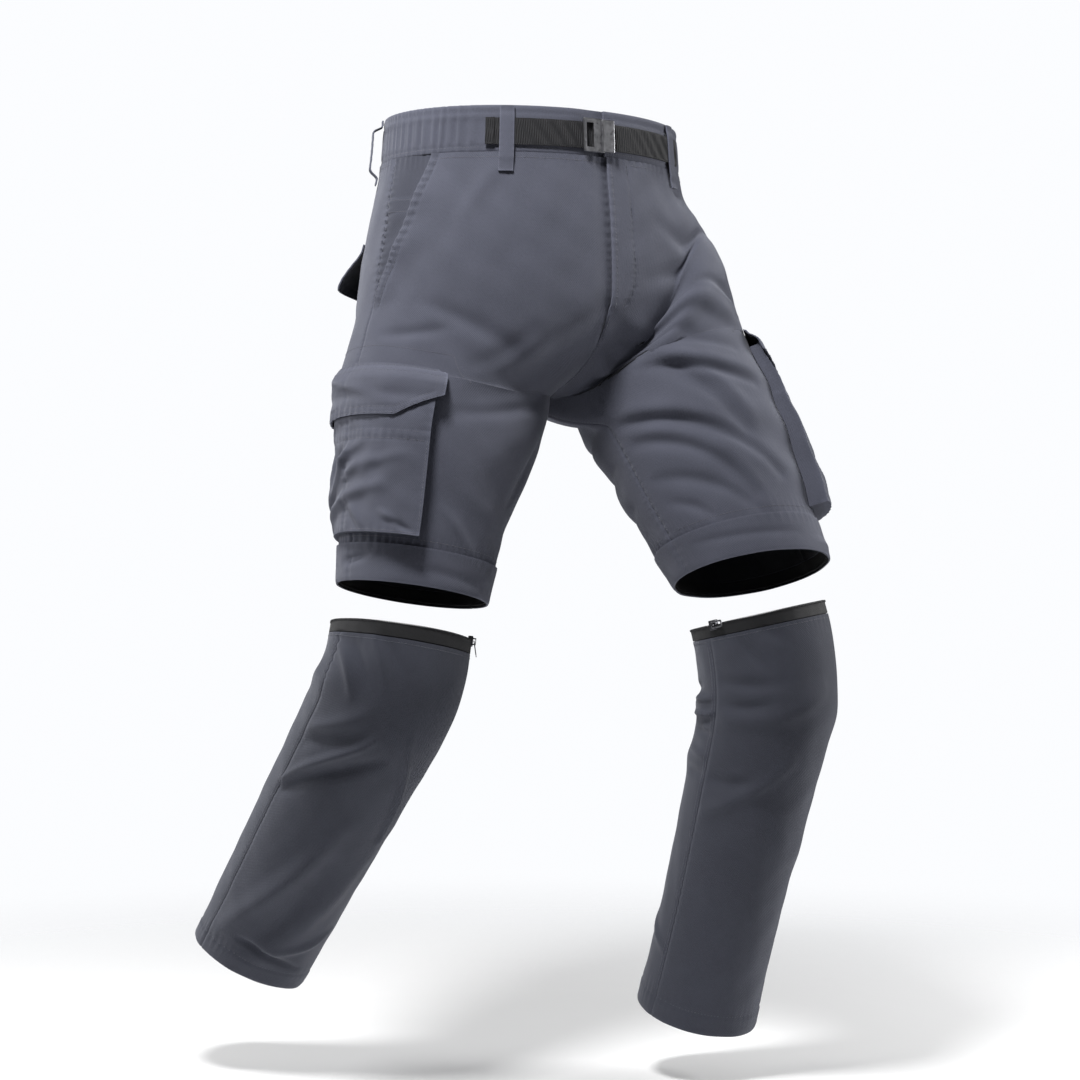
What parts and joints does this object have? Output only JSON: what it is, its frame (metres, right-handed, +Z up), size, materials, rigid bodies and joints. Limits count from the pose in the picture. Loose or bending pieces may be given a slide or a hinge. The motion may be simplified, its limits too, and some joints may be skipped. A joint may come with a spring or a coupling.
{
  "type": "convertible zip-off trousers",
  "caption": "Cargo trousers in a walking pose with a webbing belt, flapped side pockets and both lower legs zipped off and shown just below the shorts.",
  "frame": {"origin": "middle of the waist opening, half way up the waistband", "axes": "+X to the wearer's left, +Y to the back, +Z up"},
  "size_m": [0.5086, 0.5448, 0.9387],
  "materials": {
    "cloth": "matt woven canvas, slate grey",
    "lower_cloth": "matt woven canvas, slate grey",
    "facing": "matt woven lining cloth",
    "webbing": "ribbed black webbing",
    "tape": "black zip tape",
    "metal": "dark gun-metal"
  },
  "bodies": {
    "trousers": {"back_flap_left": "cloth", "back_flap_right": "cloth", "back_left": "cloth", "back_right": "cloth", "belt_buckle": "metal", "belt_left": "webbing", "belt_loop_back": "cloth", "belt_loop_front_left": "cloth", "belt_loop_front_right": "cloth", "belt_loop_side_left": "cloth", "belt_loop_side_right": "cloth", "belt_right": "webbing", "cargo_flap_left": "cloth", "cargo_flap_right": "cloth", "cargo_pocket_left": "cloth", "cargo_pocket_right": "cloth", "front_left": "cloth", "front_right": "cloth", "knee_band_left": "cloth", "knee_band_right": "cloth", "leg_zip_left": "tape", "leg_zip_right": "tape", "lower_back_left": "lower_cloth", "lower_back_right": "lower_cloth", "lower_front_left": "lower_cloth", "lower_front_right": "lower_cloth", "pocket_facing_left": "facing", "pocket_facing_right": "facing", "thigh_zip_left": "tape", "thigh_zip_right": "tape", "waistband": "cloth", "zip_slider_left": "metal", "zip_slider_right": "metal"},
    "pull_right": {"zip_pull_right": "metal"},
    "pull_left": {"zip_pull_left": "metal"}
  },
  "joints": [
    {"name": "pull_right_swing", "type": "hinge", "parent": "trousers", "child": "pull_right", "pos_m": [-0.11609, -0.05956, -0.5029], "axis": [-0.5928, -0.7895, 0.1589], "range_deg": [-8, 95]},
    {"name": "pull_left_swing", "type": "hinge", "parent": "trousers", "child": "pull_left", "pos_m": [0.07494, -0.1979, -0.48704], "axis": [0.1255, -0.1821, -0.9752], "range_deg": [0, 140]}
  ]
}
